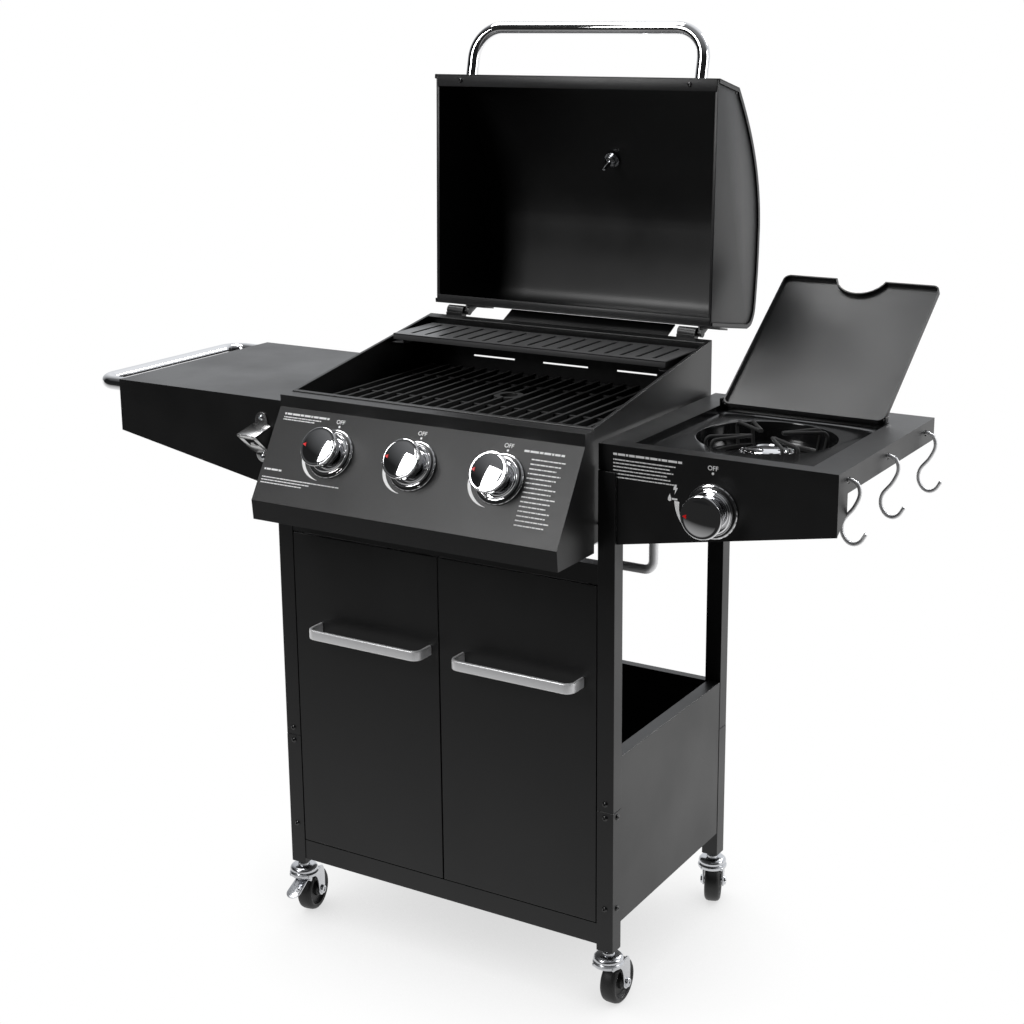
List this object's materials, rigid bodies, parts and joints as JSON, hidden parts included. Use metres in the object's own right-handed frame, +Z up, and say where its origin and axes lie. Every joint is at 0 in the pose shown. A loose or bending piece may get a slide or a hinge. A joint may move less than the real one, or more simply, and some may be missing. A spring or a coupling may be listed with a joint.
{
  "type": "gas barbecue grill",
  "caption": "Cabinet gas grill on casters with a hinged lid, control panel, side shelf with rail, and a side burner under its own lid.",
  "frame": {"origin": "centre of the footprint of the whole object, on the floor under the wheels", "axes": "+X to the right side shelf, +Y to the back, +Z up; the doors and knobs face -Y"},
  "size_m": [1.2382, 0.6222, 1.3217],
  "materials": {
    "frame_paint": "dark satin powder coat on the cabinet, doors, legs and shelves",
    "lid_paint": "charcoal powder coat with a fine speckle on the lid and the control panel",
    "chrome": "bright chrome on handles, towel rail, knobs and hooks",
    "zinc": "dull zinc-plated steel on caster forks, hinges and valves",
    "stainless": "plain steel on burners, grease tray and bottle opener",
    "cast_iron": "matte black cast iron on the grate and the pan support",
    "enamel": "glossy black enamel on the flame covers and the side burner's tray",
    "rack": "satin grey plated steel on the warming rack",
    "wheel": "black wheel tread"
  },
  "bodies": {
    "cart": {"leg_front_left": "frame_paint", "leg_front_right": "frame_paint", "leg_rear_left": "frame_paint", "leg_rear_right": "frame_paint", "base_shelf": "frame_paint", "back_panel": "frame_paint", "side_panel_left": "frame_paint", "side_panel_right": "frame_paint", "top_front_rail": "frame_paint", "firebox": "frame_paint", "control_panel": "lid_paint", "burner_tube_1": "stainless", "burner_tube_2": "stainless", "burner_tube_3": "stainless", "flame_tamer_1": "enamel", "flame_tamer_2": "enamel", "flame_tamer_3": "enamel", "gas_manifold": "zinc", "shelf_left": "frame_paint", "towel_rail": "chrome", "bottle_opener": "stainless", "shelf_right": "frame_paint", "side_burner_bowl": "enamel", "side_burner_head": "stainless", "hinge_bracket_left": "zinc", "hinge_bracket_right": "zinc"},
    "lid": {"lid_skin": "lid_paint", "lid_cheek_left": "lid_paint", "lid_cheek_right": "lid_paint", "lid_handle": "chrome", "thermometer": "zinc"},
    "door_left": {"door_left": "frame_paint", "door_handle_left": "chrome"},
    "door_right": {"door_right": "frame_paint", "door_handle_right": "chrome"},
    "valve_stem_1": {"valve_stem_1": "zinc"},
    "knob_1": {"knob_1": "chrome"},
    "valve_stem_2": {"valve_stem_2": "zinc"},
    "knob_2": {"knob_2": "chrome"},
    "valve_stem_3": {"valve_stem_3": "zinc"},
    "knob_3": {"knob_3": "chrome"},
    "valve_stem_side": {"valve_stem_side": "zinc"},
    "knob_side": {"knob_side": "chrome"},
    "side_lid": {"side_lid": "frame_paint"},
    "pan_support": {"pan_support": "cast_iron"},
    "cooking_grate": {"cooking_grate": "cast_iron"},
    "warming_rack": {"warming_rack": "rack"},
    "grease_tray": {"grease_tray": "stainless"},
    "utensil_hook_1": {"utensil_hook_1": "chrome"},
    "utensil_hook_2": {"utensil_hook_2": "chrome"},
    "utensil_hook_3": {"utensil_hook_3": "chrome"},
    "caster_front_left": {"caster_fork_front_left": "zinc"},
    "wheel_front_left": {"caster_wheel_front_left": "wheel"},
    "brake_pedal": {"brake_pedal": "zinc"},
    "caster_front_right": {"caster_fork_front_right": "zinc"},
    "wheel_front_right": {"caster_wheel_front_right": "wheel"},
    "caster_rear_left": {"caster_fork_rear_left": "zinc"},
    "wheel_rear_left": {"caster_wheel_rear_left": "wheel"},
    "caster_rear_right": {"caster_fork_rear_right": "zinc"},
    "wheel_rear_right": {"caster_wheel_rear_right": "wheel"}
  },
  "joints": [
    {"name": "lid_hinge", "type": "hinge", "parent": "cart", "child": "lid", "pos_m": [0.02096, 0.14448, 0.8863], "axis": [1, 0, 0], "range_deg": [0, 101.3]},
    {"name": "door_left_hinge", "type": "hinge", "parent": "cart", "child": "door_left", "pos_m": [-0.21554, -0.21222, 0.373], "axis": [0, 0, -1], "range_deg": [0, 88]},
    {"name": "door_right_hinge", "type": "hinge", "parent": "cart", "child": "door_right", "pos_m": [0.25746, -0.21222, 0.373], "axis": [0, 0, 1], "range_deg": [0, 88]},
    {"name": "valve_push_1", "type": "slide", "parent": "cart", "child": "valve_stem_1", "axis": [0, 0.8554, -0.5179], "range_m": [0, 0.004], "stiffness_N_per_m": 500},
    {"name": "knob_turn_1", "type": "hinge", "parent": "valve_stem_1", "child": "knob_1", "pos_m": [-0.11404, -0.26926, 0.75368], "axis": [0, -0.8554, 0.5179], "range_deg": [-90, 90]},
    {"name": "valve_push_2", "type": "slide", "parent": "cart", "child": "valve_stem_2", "axis": [0, 0.8554, -0.5179], "range_m": [0, 0.004], "stiffness_N_per_m": 500},
    {"name": "knob_turn_2", "type": "hinge", "parent": "valve_stem_2", "child": "knob_2", "pos_m": [0.02096, -0.26926, 0.75368], "axis": [0, -0.8554, 0.5179], "range_deg": [-90, 90]},
    {"name": "valve_push_3", "type": "slide", "parent": "cart", "child": "valve_stem_3", "axis": [0, 0.8554, -0.5179], "range_m": [0, 0.004], "stiffness_N_per_m": 500},
    {"name": "knob_turn_3", "type": "hinge", "parent": "valve_stem_3", "child": "knob_3", "pos_m": [0.15596, -0.26926, 0.75368], "axis": [0, -0.8554, 0.5179], "range_deg": [-90, 90]},
    {"name": "valve_push_side", "type": "slide", "parent": "cart", "child": "valve_stem_side", "axis": [0, 1, 0], "range_m": [0, 0.004], "stiffness_N_per_m": 500},
    {"name": "knob_turn_side", "type": "hinge", "parent": "valve_stem_side", "child": "knob_side", "pos_m": [0.42996, -0.21332, 0.7355], "axis": [0, -1, 0], "range_deg": [-90, 90]},
    {"name": "side_lid_hinge", "type": "hinge", "parent": "cart", "child": "side_lid", "pos_m": [0.43096, 0.06578, 0.8083], "axis": [1, 0, 0], "range_deg": [0, 144.7]},
    {"name": "pan_support_lift", "type": "slide", "parent": "cart", "child": "pan_support", "axis": [0, 0, -1], "range_m": [-0.06, 0]},
    {"name": "cooking_grate_lift", "type": "slide", "parent": "cart", "child": "cooking_grate", "axis": [0, 0, -1], "range_m": [-0.04, 0]},
    {"name": "warming_rack_lift", "type": "slide", "parent": "cart", "child": "warming_rack", "axis": [0, 0, -1], "range_m": [-0.08, 0]},
    {"name": "grease_tray_slide", "type": "slide", "parent": "cart", "child": "grease_tray", "axis": [0, 1, 0], "range_m": [0, 0.25]},
    {"name": "hook_swing_1", "type": "hinge", "parent": "cart", "child": "utensil_hook_1", "pos_m": [0.59256, -0.17972, 0.7898], "axis": [0, 1, 0], "range_deg": [-20, 15]},
    {"name": "hook_swing_2", "type": "hinge", "parent": "cart", "child": "utensil_hook_2", "pos_m": [0.59256, -0.04462, 0.7898], "axis": [0, 1, 0], "range_deg": [-20, 15]},
    {"name": "hook_swing_3", "type": "hinge", "parent": "cart", "child": "utensil_hook_3", "pos_m": [0.59256, 0.09978, 0.7898], "axis": [0, 1, 0], "range_deg": [-20, 15]},
    {"name": "caster_swivel_front_left", "type": "hinge", "parent": "cart", "child": "caster_front_left", "pos_m": [-0.24154, -0.20582, 0.08], "axis": [0, 0, 1], "continuous": true},
    {"name": "wheel_spin_front_left", "type": "hinge", "parent": "caster_front_left", "child": "wheel_front_left", "pos_m": [-0.24588, -0.1812, 0.0325], "axis": [0.9848, 0.1736, 0], "continuous": true},
    {"name": "brake_pedal_hinge", "type": "hinge", "parent": "caster_front_left", "child": "brake_pedal", "pos_m": [-0.24067, -0.21075, 0.063], "axis": [0.9848, 0.1736, 0], "range_deg": [0, 14]},
    {"name": "caster_swivel_front_right", "type": "hinge", "parent": "cart", "child": "caster_front_right", "pos_m": [0.28346, -0.20582, 0.08], "axis": [0, 0, 1], "continuous": true},
    {"name": "wheel_spin_front_right", "type": "hinge", "parent": "caster_front_right", "child": "wheel_front_right", "pos_m": [0.28346, -0.18082, 0.0325], "axis": [1, 0, 0], "continuous": true},
    {"name": "caster_swivel_rear_left", "type": "hinge", "parent": "cart", "child": "caster_rear_left", "pos_m": [-0.24154, 0.12638, 0.08], "axis": [0, 0, 1], "continuous": true},
    {"name": "wheel_spin_rear_left", "type": "hinge", "parent": "caster_rear_left", "child": "wheel_rear_left", "pos_m": [-0.24801, 0.15052, 0.0325], "axis": [0.9659, 0.2588, 0], "continuous": true},
    {"name": "caster_swivel_rear_right", "type": "hinge", "parent": "cart", "child": "caster_rear_right", "pos_m": [0.28346, 0.12638, 0.08], "axis": [0, 0, 1], "continuous": true},
    {"name": "wheel_spin_rear_right", "type": "hinge", "parent": "caster_rear_right", "child": "wheel_rear_right", "pos_m": [0.27491, 0.14987, 0.0325], "axis": [0.9397, 0.342, 0], "continuous": true}
  ]
}
